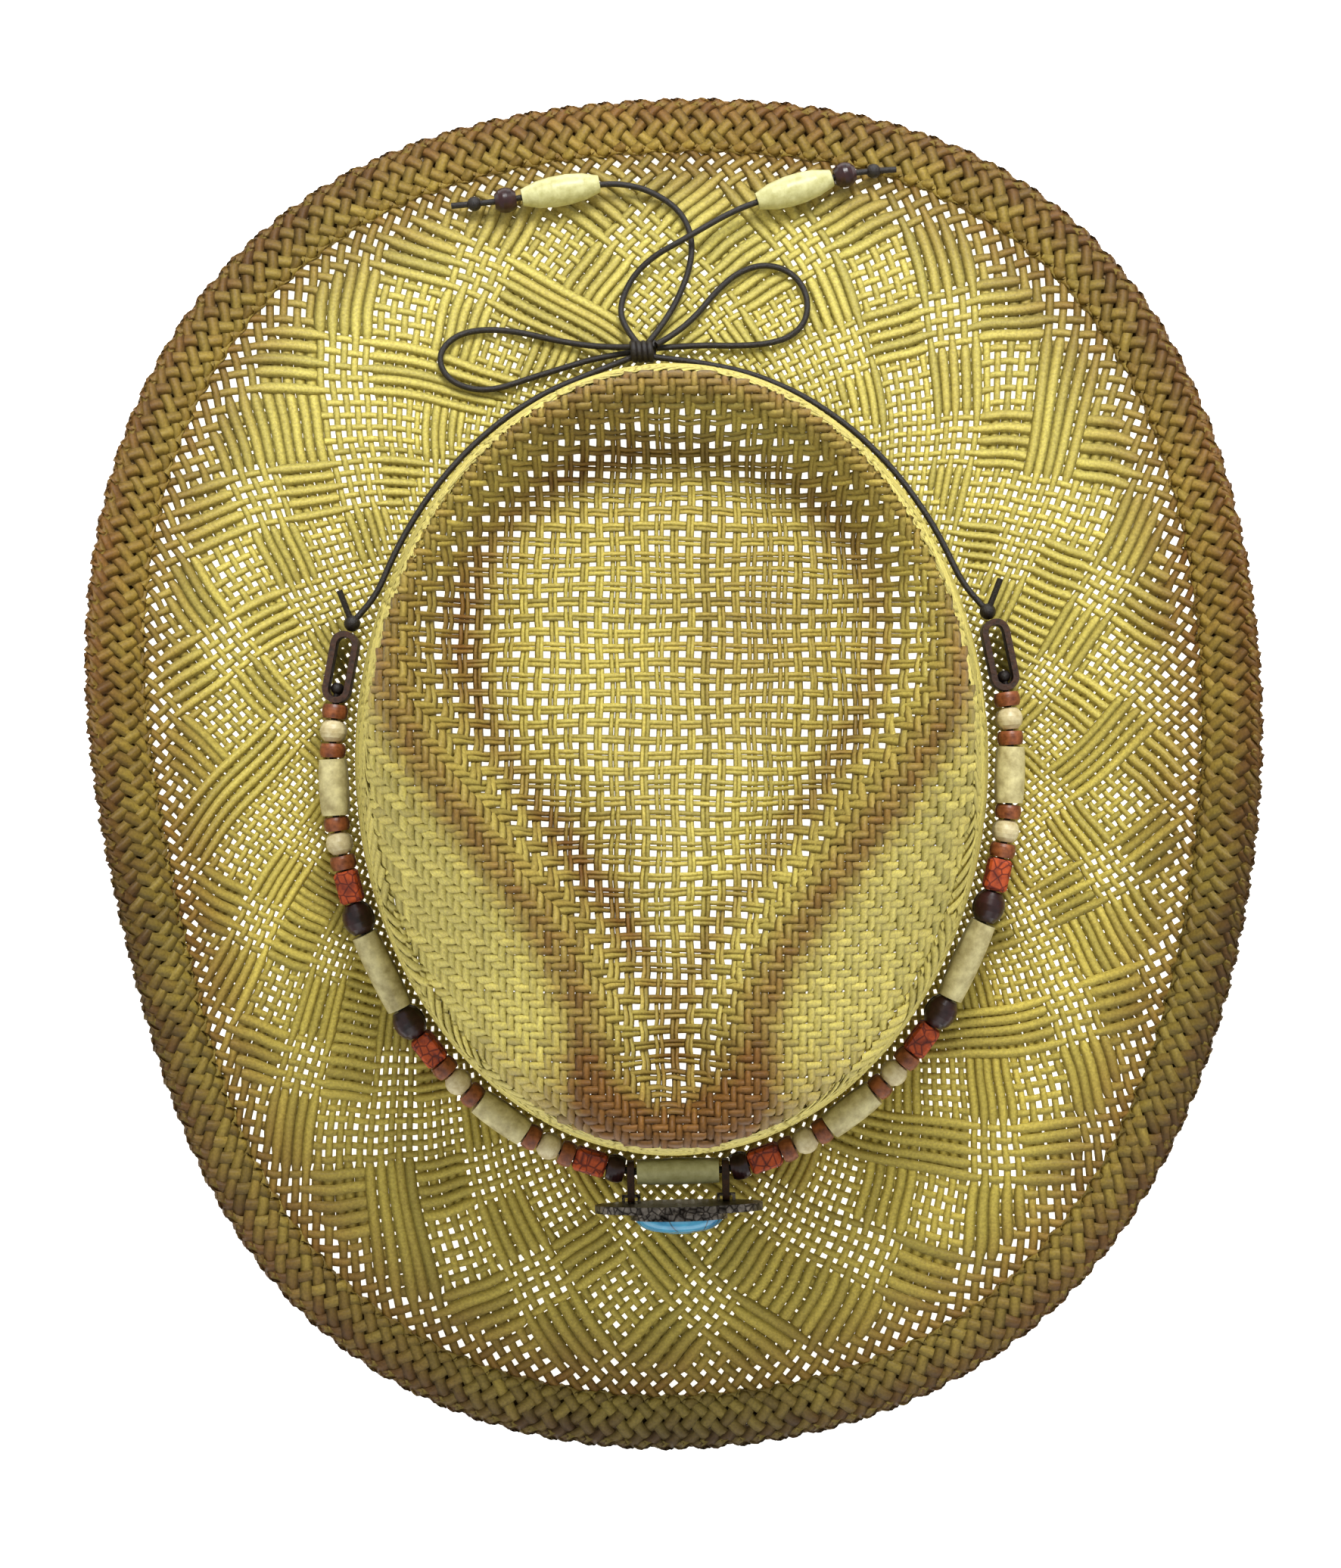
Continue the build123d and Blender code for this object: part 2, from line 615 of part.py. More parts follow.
def make_nodes():
    nodes = {}
    nodes["crown"] = make_crown()
    nodes["sweatband"] = make_sweatband()
    nodes["sweatband_stitches"] = make_stitches()
    nodes["brim"] = make_brim()
    nodes["brim_reed"] = make_brim_reed()
    nodes["brim_edge_braid"] = make_brim_edge()

    rows = (("lower", LOWER_ROW), ("upper", UPPER_ROW))
    groups = {}
    for row, rise in rows:
        nodes["bead_string_" + row] = make_string("bead_string_" + row, rise)
        half = BEADS["front_tube"][0] / 2
        nodes["front_tube_" + row] = placed_bead("front_tube", -half, half, rise)
        for side, sign in (("left", -1), ("right", 1)):
            tubes = 0
            for kind, start, end in LAYOUT:
                bead = placed_bead(kind, sign * start, sign * end, rise)
                if kind == "long_tube":
                    nodes[f"long_tube_{side}_{row}"] = bead
                elif kind == "short_tube":
                    tubes += 1
                    nodes[f"short_tube_{side}_{row}_{tubes}"] = bead
                else:
                    family = "dark_round" if kind == "dark_short" else kind
                    groups.setdefault(f"{family}_beads_{side}", []).append(bead)
    for name, beads in groups.items():
        nodes[name] = Compound(beads)

    nodes["bow_knot"] = make_bow_knot()
    for side, sign in (("left", -1), ("right", 1)):
        nodes["leather_tab_" + side] = make_tab(sign)
        knot = make_tab_knot(sign)
        nodes["tab_knot_" + side] = knot
        cord = cord_tube("band_cord_" + side, band_cord_route(sign), CORD_RADIUS)
        nodes["band_cord_" + side] = cord

    for side, loop, tail in (("left", LEFT_LOOP, LEFT_TAIL), ("right", RIGHT_LOOP, RIGHT_TAIL)):
        nodes["bow_loop_" + side] = cord_tube("bow_loop_" + side, loop, CORD_RADIUS)
        nodes["bow_tail_" + side] = cord_tube("bow_tail_" + side, tail, CORD_RADIUS)
        nodes["tail_knot_" + side] = end_knot(tail[-2], tail[-1])
        nodes["tail_bead_" + side] = bead_between(TAIL_BEAD, tail[-4], tail[-3], 0.3)
        nodes["tail_round_bead_" + side] = bead_between(TAIL_ROUND, tail[-3], tail[-2], 0.2)

    frame, plate, bezel, stone, staples, laces = make_concho()
    nodes["concho_plate"] = frame * plate
    nodes["concho_bezel"] = frame * bezel
    nodes["concho_stone"] = frame * stone
    nodes["concho_staples"] = frame * Compound(staples)
    nodes["concho_laces"] = frame * Compound(laces)
    return nodes


os.makedirs("parts", exist_ok=True)
for name, shape in make_nodes().items():
    export_step(shape.moved(Pos(AXIS_X, AXIS_Y, 0)), f"parts/{name}.step")
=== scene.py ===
import math

import bpy
import numpy as np
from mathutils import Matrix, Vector


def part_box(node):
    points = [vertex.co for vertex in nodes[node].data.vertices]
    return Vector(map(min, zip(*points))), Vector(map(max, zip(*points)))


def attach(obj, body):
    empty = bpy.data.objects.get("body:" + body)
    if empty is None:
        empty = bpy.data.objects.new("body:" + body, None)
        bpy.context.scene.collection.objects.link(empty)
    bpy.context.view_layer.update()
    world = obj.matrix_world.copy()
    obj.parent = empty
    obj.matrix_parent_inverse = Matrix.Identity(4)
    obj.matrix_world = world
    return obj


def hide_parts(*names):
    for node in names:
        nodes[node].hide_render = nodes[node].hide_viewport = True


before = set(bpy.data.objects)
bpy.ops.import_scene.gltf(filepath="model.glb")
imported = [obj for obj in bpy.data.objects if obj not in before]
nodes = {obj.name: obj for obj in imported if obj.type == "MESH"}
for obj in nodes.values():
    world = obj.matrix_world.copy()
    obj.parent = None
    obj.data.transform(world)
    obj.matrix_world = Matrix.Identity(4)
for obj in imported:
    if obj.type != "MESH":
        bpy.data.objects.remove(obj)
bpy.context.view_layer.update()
scene = bpy.context.scene

AXIS = np.array([-0.36, 3.57, 0.0])      # the crown's axis, in millimetres

# ---------------------------------------------------------------- camera

camera_data = bpy.data.cameras.new("camera")
camera = bpy.data.objects.new("camera", camera_data)
scene.collection.objects.link(camera)
camera.location = (-0.00066, -0.00263, 1.6)
camera.rotation_euler = (0, 0, 0)
camera_data.sensor_fit = "VERTICAL"
camera_data.sensor_height = 36
camera_data.sensor_width = 36
camera_data.lens = 140.4
camera_data.clip_start = 0.05
camera_data.clip_end = 20
scene.camera = camera

# ---------------------------------------------------------------- free cords

CORDS = {
    "bow_loop_left": [
        (-10.6, 106.4, 24.4), (-17.9, 106.4, 21.8), (-29.4, 108.2, 20.1), (-39.2, 110.6, 19.8),
        (-48.6, 111.4, 19.9), (-56.2, 109.6, 20.6), (-60.4, 104.4, 21.9), (-58.3, 98.6, 22.9),
        (-52.4, 95.6, 23.2), (-45.6, 95.4, 22.9), (-36.8, 98.4, 22.1), (-27.6, 101.3, 21.4),
        (-18.6, 104.0, 21.3), (-10.4, 105.2, 21.8)],
    "bow_loop_right": [
        (-4.0, 107.0, 24.4), (0.9, 109.9, 21.5), (6.7, 115.2, 18.8), (11.4, 121.2, 17.5),
        (17.2, 126.4, 16.4), (24.2, 128.6, 15.9), (31.2, 126.4, 16.4), (35.2, 120.6, 17.9),
        (35.0, 113.8, 19.4), (31.0, 109.3, 20.1), (24.6, 107.4, 20.4), (16.0, 106.9, 20.4),
        (7.0, 107.2, 20.4), (-3.8, 106.3, 21.7)],
    "bow_tail_left": [
        (-6.0, 107.6, 23.4), (-2.3, 112.4, 20.2), (1.8, 119.6, 17.8), (4.9, 127.8, 16.0),
        (5.4, 135.8, 14.1), (2.2, 142.8, 12.3), (-5.0, 147.6, 11.8), (-11.4, 149.4, 12.6),
        (-18.5, 149.6, 13.4), (-40.1, 145.6, 14.4), (-46.2, 144.7, 14.4), (-51.2, 144.3, 13.6)],
    "bow_tail_right": [
        (-9.0, 107.6, 23.4), (-12.9, 112.6, 20.4), (-13.2, 118.6, 18.1), (-10.0, 125.4, 16.9),
        (-4.4, 130.6, 17.6), (2.0, 134.0, 18.8), (8.6, 137.9, 18.2), (14.8, 141.6, 15.8),
        (21.9, 144.7, 14.9), (42.0, 151.2, 13.1), (47.8, 152.6, 12.4), (52.4, 153.0, 11.6)]}


def curve(name, points, radius):
    """A smooth round cord through control points in metres."""
    data = bpy.data.curves.new(name, "CURVE")
    data.dimensions = "3D"
    data.bevel_depth = 1.0               # each point's own radius gives the thickness
    data.bevel_resolution = 3
    data.resolution_u = 6
    data.use_fill_caps = True
    spline = data.splines.new("NURBS")
    spline.points.add(len(points) - 1)
    for place, point in zip(spline.points, points):
        place.co = (*point, 1)
        place.radius = radius
    spline.order_u = 3
    spline.use_endpoint_u = True
    made = bpy.data.objects.new(name, data)
    scene.collection.objects.link(made)
    return made


cords = {}
for cord_name, route in CORDS.items():
    points = [tuple((np.array(p) + AXIS) / 1000) for p in route]
    cord = curve("cord_" + cord_name, points, 0.0008)
    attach(cord, "hatband")
    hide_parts(cord_name)
    cords[cord_name] = cord

# ---------------------------------------------------------------- materials


def linear(colour):
    """Display colour, 0 to 255, as linear light."""
    c = np.asarray(colour, float) / 255
    return np.where(c <= 0.04045, c / 12.92, ((c + 0.055) / 1.055) ** 2.4)


def material(name, dark, light, grain=300.0, rough=0.5, bump=0.3, metal=0.0, stretch=(1, 1, 1),
             spots=None, gloss=0.5):
    """Two-tone procedural material: fine grain, larger blotches and a raised surface."""
    made = bpy.data.materials.new(name)
    made.use_nodes = True
    tree = made.node_tree
    shader = tree.nodes["Principled BSDF"]
    shader.inputs["Metallic"].default_value = metal
    shader.inputs["Specular IOR Level"].default_value = gloss
    place = tree.nodes.new("ShaderNodeTexCoord")
    mapping = tree.nodes.new("ShaderNodeMapping")
    mapping.inputs["Scale"].default_value = stretch
    tree.links.new(place.outputs["Object"], mapping.inputs["Vector"])
    noise = tree.nodes.new("ShaderNodeTexNoise")
    noise.inputs["Scale"].default_value = grain
    noise.inputs["Detail"].default_value = 6
    noise.inputs["Roughness"].default_value = 0.6
    tree.links.new(mapping.outputs["Vector"], noise.inputs["Vector"])
    ramp = tree.nodes.new("ShaderNodeValToRGB")
    ramp.color_ramp.elements[0].position = 0.32
    ramp.color_ramp.elements[1].position = 0.68
    ramp.color_ramp.elements[0].color = (*linear(dark), 1)
    ramp.color_ramp.elements[1].color = (*linear(light), 1)
    tree.links.new(noise.outputs["Fac"], ramp.inputs["Fac"])
    last = ramp.outputs["Color"]
    if spots:
        cells = tree.nodes.new("ShaderNodeTexVoronoi")
        cells.feature = "DISTANCE_TO_EDGE"
        cells.inputs["Scale"].default_value = spots[0]
        tree.links.new(mapping.outputs["Vector"], cells.inputs["Vector"])
        veins = tree.nodes.new("ShaderNodeValToRGB")
        veins.color_ramp.elements[0].position = 0.0
        veins.color_ramp.elements[1].position = spots[1]
        veins.color_ramp.elements[0].color = (*linear(spots[2]), 1)
        veins.color_ramp.elements[1].color = (1, 1, 1, 1)
        tree.links.new(cells.outputs["Distance"], veins.inputs["Fac"])
        mix = tree.nodes.new("ShaderNodeMix")
        mix.data_type = "RGBA"
        mix.blend_type = "MULTIPLY"
        mix.inputs["Factor"].default_value = 1
        tree.links.new(last, mix.inputs[6])
        tree.links.new(veins.outputs["Color"], mix.inputs[7])
        last = mix.outputs[2]
    tree.links.new(last, shader.inputs["Base Color"])
    shine = tree.nodes.new("ShaderNodeMapRange")
    shine.inputs["To Min"].default_value = rough * 0.8
    shine.inputs["To Max"].default_value = min(1.0, rough * 1.25)
    tree.links.new(noise.outputs["Fac"], shine.inputs["Value"])
    tree.links.new(shine.outputs["Result"], shader.inputs["Roughness"])
    raised = tree.nodes.new("ShaderNodeBump")
    raised.inputs["Strength"].default_value = bump
    raised.inputs["Distance"].default_value = 0.0004
    tree.links.new(noise.outputs["Fac"], raised.inputs["Height"])
    tree.links.new(raised.outputs["Normal"], shader.inputs["Normal"])
    return made


def straw_material(name):
    """Split straw: each strand's own tint, with fine grain and a faint sheen."""
    made = material(name, (205, 200, 190), (255, 255, 250), grain=1400, rough=0.55, bump=0.25,
                    gloss=0.35)
    tree = made.node_tree
    shader = tree.nodes["Principled BSDF"]
    tint = tree.nodes.new("ShaderNodeVertexColor")
    tint.layer_name = "tint"
    mix = tree.nodes.new("ShaderNodeMix")
    mix.data_type = "RGBA"
    mix.blend_type = "MULTIPLY"
    mix.inputs["Factor"].default_value = 1
    ramp = next(n for n in tree.nodes if n.type == "VALTORGB")
    tree.links.new(ramp.outputs["Color"], mix.inputs[6])
    tree.links.new(tint.outputs["Color"], mix.inputs[7])
    tree.links.new(mix.outputs[2], shader.inputs["Base Color"])
    return made


STRAW = straw_material("woven_straw")
LOOKS = {
    "waxed_cord": material("waxed_cord", (14, 11, 10), (44, 36, 32), 2500, 0.42, 0.6),
    "brown_bead": material("brown_bead", (96, 46, 22), (166, 96, 54), 500, 0.4, 0.3),
    "cream_bead": material("cream_bead", (196, 178, 128), (236, 224, 180), 500, 0.38, 0.3),
    "orange_bead": material("orange_bead", (120, 38, 14), (216, 92, 34), 330, 0.6, 0.9,
                            spots=(420, 0.12, (120, 60, 40))),
    "dark_bead": material("dark_bead", (22, 10, 12), (62, 30, 30), 260, 0.3, 0.3),
    "cream_barrel": material("cream_barrel", (196, 192, 128), (228, 226, 168), 420, 0.35, 0.3),
    "natural_tube": material("natural_tube", (168, 154, 104), (232, 222, 164), 300, 0.4, 0.4),
    "tab_leather": material("tab_leather", (34, 19, 12), (78, 46, 28), 900, 0.6, 0.7),
    "turquoise": material("turquoise", (22, 112, 160), (70, 174, 212), 160, 0.18, 0.1,
                          spots=(120, 0.035, (90, 90, 80)), gloss=0.7),
    "antique_metal": material("antique_metal", (40, 36, 34), (150, 142, 132), 420, 0.36, 0.8, 1.0,
                              spots=(520, 0.16, (70, 62, 58))),
    "sweatband_cloth": material("sweatband_cloth", (120, 98, 66), (168, 142, 100), 1500, 0.85, 0.8),
    "thread": material("thread", (196, 184, 150), (232, 224, 198), 2600, 0.7, 0.5),
    "reed": material("reed", (120, 92, 50), (170, 138, 84), 700, 0.6, 0.5, stretch=(1, 1, 4))}

WORDS = (("string", "waxed_cord"), ("cord", "waxed_cord"), ("loop", "waxed_cord"),
         ("knot", "waxed_cord"), ("bow_tail", "waxed_cord"), ("brown_disc", "brown_bead"),
         ("cream_round", "cream_bead"), ("orange", "orange_bead"), ("dark_round", "dark_bead"),
         ("tail_round", "dark_bead"), ("tail_bead", "cream_barrel"), ("front_tube", "cream_barrel"),
         ("tube", "natural_tube"), ("laces", "tab_leather"), ("leather", "tab_leather"),
         ("stone", "turquoise"), ("concho", "antique_metal"), ("stitches", "thread"),
         ("sweatband", "sweatband_cloth"), ("reed", "reed"))
for node_name, node in nodes.items():
    for word, look in WORDS:
        if word in node_name:
            node.data.materials.clear()
            node.data.materials.append(LOOKS[look])
            break
for cord in cords.values():
    cord.data.materials.append(LOOKS["waxed_cord"])

# ---------------------------------------------------------------- the hat's surfaces, in mm

BASE_HALF_X = 81.5                       # crown outside, where it meets the brim
BASE_HALF_Y = 101.5
BASE_HEIGHT = 25.2
TOP_HALF_X = 74.5                        # where the crown's shoulder turns down into its side
TOP_HALF_Y = 95
SHOULDER = 9
SHOULDER_EDGE = 1.2
BOWL_Y = 30                              # teardrop: centre of its round end at the back
BOWL_HALF = 70
PINCH_Y = -72                            # teardrop: centre of its narrow end at the front
PINCH_HALF = 19
CREASE_RUN = 20                          # width of the slope down from the crest
WEAVE_MIDDLE = 0.75                      # middle of the brim's weave, below its top face
EDGE_INSET = 9                           # the brim's weave ends this far inside the outline
EDGE_TWISTS = 112                        # scallops round the outline


def smooth_step(value):
    value = np.clip(value, 0, 1)
    return value * value * (3 - 2 * value)


def joint_height(x, y):
    across = (x / BASE_HALF_X) ** 2
    along = (y / BASE_HALF_Y) ** 2
    return BASE_HEIGHT + 6 * (across - along) / np.maximum(1, across + along)


def brim_radius(a):
    return (164.2 - 15.6 * np.cos(2 * a) - 3.3 * np.cos(4 * a) + 3.6 * np.sin(3 * a)
            + 1.0 * np.cos(6 * a) + 1.2 * np.cos(a) - 0.9 * np.sin(2 * a) - 1.1 * np.sin(4 * a))


def inner_radius(a):
    return 1 / np.hypot(np.cos(a) / BASE_HALF_X, np.sin(a) / BASE_HALF_Y)


def brim_height(x, y):
    radius = np.maximum(1, np.hypot(x, y))
    a = np.arctan2(y, x)
    inner = inner_radius(a)
    part = np.clip((radius - inner) / (brim_radius(a) - inner), 0, 1.2)
    side = np.cos(a) ** 2
    edge = 2.6 + 60 * side ** 1.6
    start = joint_height(x, y)
    return start + (edge - start) * part ** (1.3 + 0.4 * side)


def brim_surface(a, part):
    """The middle of the brim's weave: part is 0 at the crown, 1 under the braided edge."""
    inner = inner_radius(a)
    radius = inner + (brim_radius(a) - EDGE_INSET - inner) * part
    x = radius * np.cos(a)
    y = radius * np.sin(a)
    return np.stack([x, y, brim_height(x, y) - WEAVE_MIDDLE], -1)


def teardrop(x, y):
    part = smooth_step((y - PINCH_Y) / (BOWL_Y - PINCH_Y))
    half = PINCH_HALF + (BOWL_HALF - PINCH_HALF) * part
    place = np.abs(x) / half
    back = y > BOWL_Y
    front = y < PINCH_Y
    place = np.where(back, np.hypot(x / BOWL_HALF, (y - BOWL_Y) / 62), place)
    half = np.where(back, BOWL_HALF, half)
    place = np.where(front, np.hypot(x, y - PINCH_Y) / PINCH_HALF, place)
    half = np.where(front, PINCH_HALF, half)
    return place, half


def crown_top(x, y):
    place, half = teardrop(x, y)
    height = 132 - 0.033 * y
    inside = np.maximum(0, (1 - place) * half)
    outside = np.maximum(0, (place - 1) * half)
    height = height - (23 + 0.033 * y) * smooth_step(inside / CREASE_RUN)
    height = height + 7 * smooth_step((inside - CREASE_RUN) / 22)
    height = height - 46 * smooth_step(outside / 52)
    to_side = (1 - np.hypot(x / TOP_HALF_X, y / TOP_HALF_Y)) * TOP_HALF_X
    turn = np.clip(to_side, SHOULDER_EDGE, SHOULDER)
    drop = SHOULDER - np.sqrt(SHOULDER ** 2 - (SHOULDER - turn) ** 2)
    return height - np.where(to_side < SHOULDER, drop, 0)


def side_surface(a, rise):
    """The crown's side: rise is 0 at the brim and 1 where the shoulder starts."""
    across = np.cos(a)
    along = np.sin(a)
    bottom = joint_height(BASE_HALF_X * across, BASE_HALF_Y * along) - 1.5
    edge = 1 - SHOULDER_EDGE / TOP_HALF_X
    shoulder = crown_top(edge * TOP_HALF_X * across, edge * TOP_HALF_Y * along) + 0.4
    z = bottom + (shoulder - bottom) * rise
    shrink = (np.maximum(0, z - BASE_HEIGHT) / 100) ** 1.4
    turned_in = np.clip((rise - 0.92) / 0.08, 0, 1) ** 1.5
    half_x = 80.8 - 8 * shrink
    half_y = 100.8 - 7 * shrink
    half_x = half_x + (73.0 - half_x) * turned_in
    half_y = half_y + (93.4 - half_y) * turned_in
    return np.stack([half_x * across, half_y * along, z], -1)


def edge_surface(a, turn):
    """Round the folded edge: turn goes once round its flat lens-shaped section."""
    lobes = 0.35 * np.cos(EDGE_TWISTS * a)
    middle = brim_radius(a) - 6.4
    radius = middle + (6.6 + lobes) * np.cos(turn)
    on_brim = np.minimum(radius, brim_radius(a) + 0.4)
    x = on_brim * np.cos(a)
    y = on_brim * np.sin(a)
    z = brim_height(x, y) - WEAVE_MIDDLE + 1.75 * np.sin(turn)
    return np.stack([radius * np.cos(a), radius * np.sin(a), z], -1)


# ---------------------------------------------------------------- strands

chance = np.random.default_rng(7)


def surface_normals(surface, u, v, step_u, step_v):
    along_u = surface(u + step_u, v) - surface(u - step_u, v)
    along_v = surface(u, v + step_v) - surface(u, v - step_v)
    normal = np.cross(along_u, along_v)
    return normal / np.linalg.norm(normal, axis=-1, keepdims=True)


def ribbon_mesh(name, strands, thick, body="hat"):
    """Flat lens-shaped ribbons. Each strand: points, normals, widths and linear tints."""
    all_points = []
    all_faces = []
    all_tints = []
    start = 0
    for points, normals, widths, tints in strands:
        tangent = np.gradient(points, axis=0)
        across = np.cross(normals, tangent)
        across /= np.maximum(1e-9, np.linalg.norm(across, axis=1, keepdims=True))
        reach = across * widths[:, None] / 2
        section = np.stack([points - reach, points + normals * thick / 2, points + reach,
                            points - normals * thick / 2], 1)
        count = len(points)
        all_points.append(section.reshape(-1, 3))
        all_tints.append(np.repeat(tints, 4, axis=0))
        row = (np.arange(count - 1) * 4)[:, None]
        k = np.arange(4)[None, :]
        n = (k + 1) % 4
        quads = np.stack([row + k, row + n, row + 4 + n, row + 4 + k], -1).reshape(-1, 4)
        all_faces.append(quads + start)
        start += count * 4
    points = (np.concatenate(all_points) + AXIS) / 1000
    faces = np.concatenate(all_faces)
    tints = np.concatenate(all_tints)
    mesh = bpy.data.meshes.new(name)
    mesh.vertices.add(len(points))
    mesh.vertices.foreach_set("co", points.ravel())
    mesh.loops.add(faces.size)
    mesh.loops.foreach_set("vertex_index", faces.ravel().astype(np.int32))
    mesh.polygons.add(len(faces))
    mesh.polygons.foreach_set("loop_start", (np.arange(len(faces)) * 4).astype(np.int32))
    mesh.update(calc_edges=True)
    mesh.polygons.foreach_set("use_smooth", np.ones(len(faces), bool))
    layer = mesh.color_attributes.new("tint", "FLOAT_COLOR", "POINT")
    layer.data.foreach_set("color", np.column_stack([tints, np.ones(len(tints))]).ravel())
    mesh.materials.append(STRAW)
    made = bpy.data.objects.new(name, mesh)
    scene.collection.objects.link(made)
    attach(made, body)
    return made


def spiral_weave(name, surface, count, reach, growth, pattern, tint_at, pitch_at, thick, amp,
                 wide, narrow, closed=False):
    """Two families of strands that cross on the slant; pattern says which lies on top."""
    crossings = int(reach * count / math.pi)
    per = 3
    steps = np.arange(crossings * per + 1) / per
    made = []
    for family in (1, -1):
        strands = []
        for i in range(count):
            w = np.pi * steps / count
            a = 2 * np.pi * i / count + family * w + chance.normal(0, 0.0014)
            v = growth(w / reach)
            if not closed:
                a = a + 0.004 * np.sin(9 * a + 11 * v) + 0.002 * np.sin(31 * a - 23 * v)
            d = np.arange(crossings + 2)
            other = (i + family * d) % count
            own = np.full_like(d, i)
            first, second = (own, other) if family == 1 else (other, own)
            top, dense = pattern(first, second, d / crossings)
            top = family * top
            k = np.floor(steps).astype(int)
            blend = smooth_step(steps - k)
            lift = top[k] + (top[k + 1] - top[k]) * blend
            fill = dense[k] + (dense[k + 1] - dense[k]) * blend
            normal = surface_normals(surface, a, v, 1e-3, 1e-3)
            points = surface(a, v)
            if closed:
                outward = normal
            else:
                outward = normal * np.sign(normal[:, 2:3] + 1e-9)
            pitch = pitch_at(a, v)
            width = pitch * (narrow + (wide - narrow) * fill) * chance.uniform(0.94, 1.04)
            tint = tint_at(points, a, v) * chance.normal(1.0, 0.09)
            strands.append((points + outward * (lift * amp)[:, None], outward, width, tint))
        made.append(ribbon_mesh(f"{name}_{'a' if family == 1 else 'b'}", strands, thick))
    return made


def block_pattern(size, open_near=0.0, open_far=0.0):
    """Open plain-weave patches alternating with dense blocks of long floats."""
    def at(first, second, along):
        plain = np.where((first + second) % 2 == 0, 1, -1)
        block_a = first // size
        block_b = second // size
        floating = (block_a + block_b) % 2 == 1
        mixed_up = (block_a * 7 + block_b * 13 + block_a * block_b) % 11
        floating = (floating & (mixed_up > 1)) | (mixed_up == 5)
        floating = floating & (along > open_near) & (along < 1 - open_far)
        over = np.where(block_a % 2 == 0, 1, -1)
        return np.where(floating, over, plain).astype(float), floating.astype(float)
    return at


# ---------------------------------------------------------------- straw colours

STRAW_PALE = linear((228, 215, 116))
STRAW_MID = linear((206, 187, 84))
STAIN = linear((132, 90, 36))
STAIN_DARK = linear((84, 62, 30))


def mixed(first, second, share):
    return first + (second - first) * np.clip(share, 0, 1)[:, None]


def brim_tint(points, a, part):
    """Straw that is sprayed brown towards the edge, with painted light: paler towards the back, where the
    key light falls.
    """
    inner = inner_radius(a)
    to_edge = (1 - part) * (brim_radius(a) - EDGE_INSET - inner)
    # painted light: straw paler towards the back and darker towards the front, as the key light falls from
    # the back
    base = mixed(STRAW_MID, STRAW_PALE, 0.5 + 0.5 * np.sin(a))
    blotch = 0.12 * np.sin(points[:, 0] / 17) * np.sin(points[:, 1] / 23)
    own = chance.uniform(-0.08, 0.1)
    return mixed(base, STAIN, 0.85 * smooth_step(1 - to_edge / 30) + blotch + own)


def edge_tint(points, a, turn):
    """The brown edge, a little paler where it meets the brim, and painted paler towards the back, where
    the key light falls.
    """
    inward = 0.5 - 0.5 * np.cos(turn)
    # painted light in part: paler towards the back and darker towards the front, as the key light falls
    # from the back; the fivefold wobble is the stain's own unevenness
    base = mixed(STAIN_DARK, STAIN, 0.5 + 0.3 * np.sin(a) + 0.2 * np.sin(5 * a))
    return mixed(base, STRAW_MID, 0.3 * smooth_step(inward * 1.3) + chance.uniform(-0.1, 0.14))


def top_tint(points):
    """Brown on the crest, in the groove and on the front tip."""
    place, half = teardrop(points[:, 0], points[:, 1])
    inside = (1 - place) * half
    base = mixed(STRAW_PALE, STRAW_MID, 0.35 + 0.25 * np.sin(points[:, 1] / 31))
    ridge = np.exp(-((inside + 1) / 7) ** 2) * 0.8
    groove = np.exp(-((inside - 19) / 6) ** 2) * 0.5
    front = 0.6 * smooth_step((-points[:, 1] - 62) / 30)
    bowl = 0.22 * smooth_step(inside / 10) * (1 + np.sin(points[:, 0] / 13) * np.sin(points[:, 1] / 19))
    own = chance.uniform(-0.1, 0.12)
    return mixed(base, STAIN, ridge + groove + front + bowl + own)


def side_tint(points, a, rise):
    """Pale side, browner low down by the band."""
    return mixed(STRAW_PALE, STAIN, 0.12 + 0.25 * (1 - smooth_step(rise * 5)))


# ---------------------------------------------------------------- woven brim

BRIM_REACH = 0.5                         # how far each strand turns round the hat, in radians
BRIM_STRANDS = 200


def spiral_growth(share):
    """Keeps the strands at 45 degrees as the brim widens."""
    return (np.exp(BRIM_REACH * share) - 1) / (math.exp(BRIM_REACH) - 1)


def brim_pitch(a, part):
    inner = inner_radius(a)
    return 2 * np.pi * (inner + (brim_radius(a) - EDGE_INSET - inner) * part) / BRIM_STRANDS / math.sqrt(2)


brim_pieces = spiral_weave("brim_weave", brim_surface, BRIM_STRANDS, BRIM_REACH, spiral_growth,
                           block_pattern(5, 0.12, 0.1), brim_tint, brim_pitch, 0.5, 0.33,
                           0.96, 0.64)
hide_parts("brim")

# ---------------------------------------------------------------- braided edge


def even(share):
    return share


def round_section(share):
    return 2 * np.pi * share


def edge_pitch(a, turn):
    return np.full_like(turn, 3.1)


def edge_pattern(first, second, along):
    return np.where((first + second) % 2 == 0, 1.0, -1.0), np.ones(len(first))


def edge_out(a, turn):
    return edge_surface(a, -turn)


edge_pieces = spiral_weave("edge_braid", edge_out, 224, 0.19, round_section, edge_pattern,
                           edge_tint, edge_pitch, 0.55, 0.3, 0.98, 0.8, closed=True)
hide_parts("brim_edge_braid")


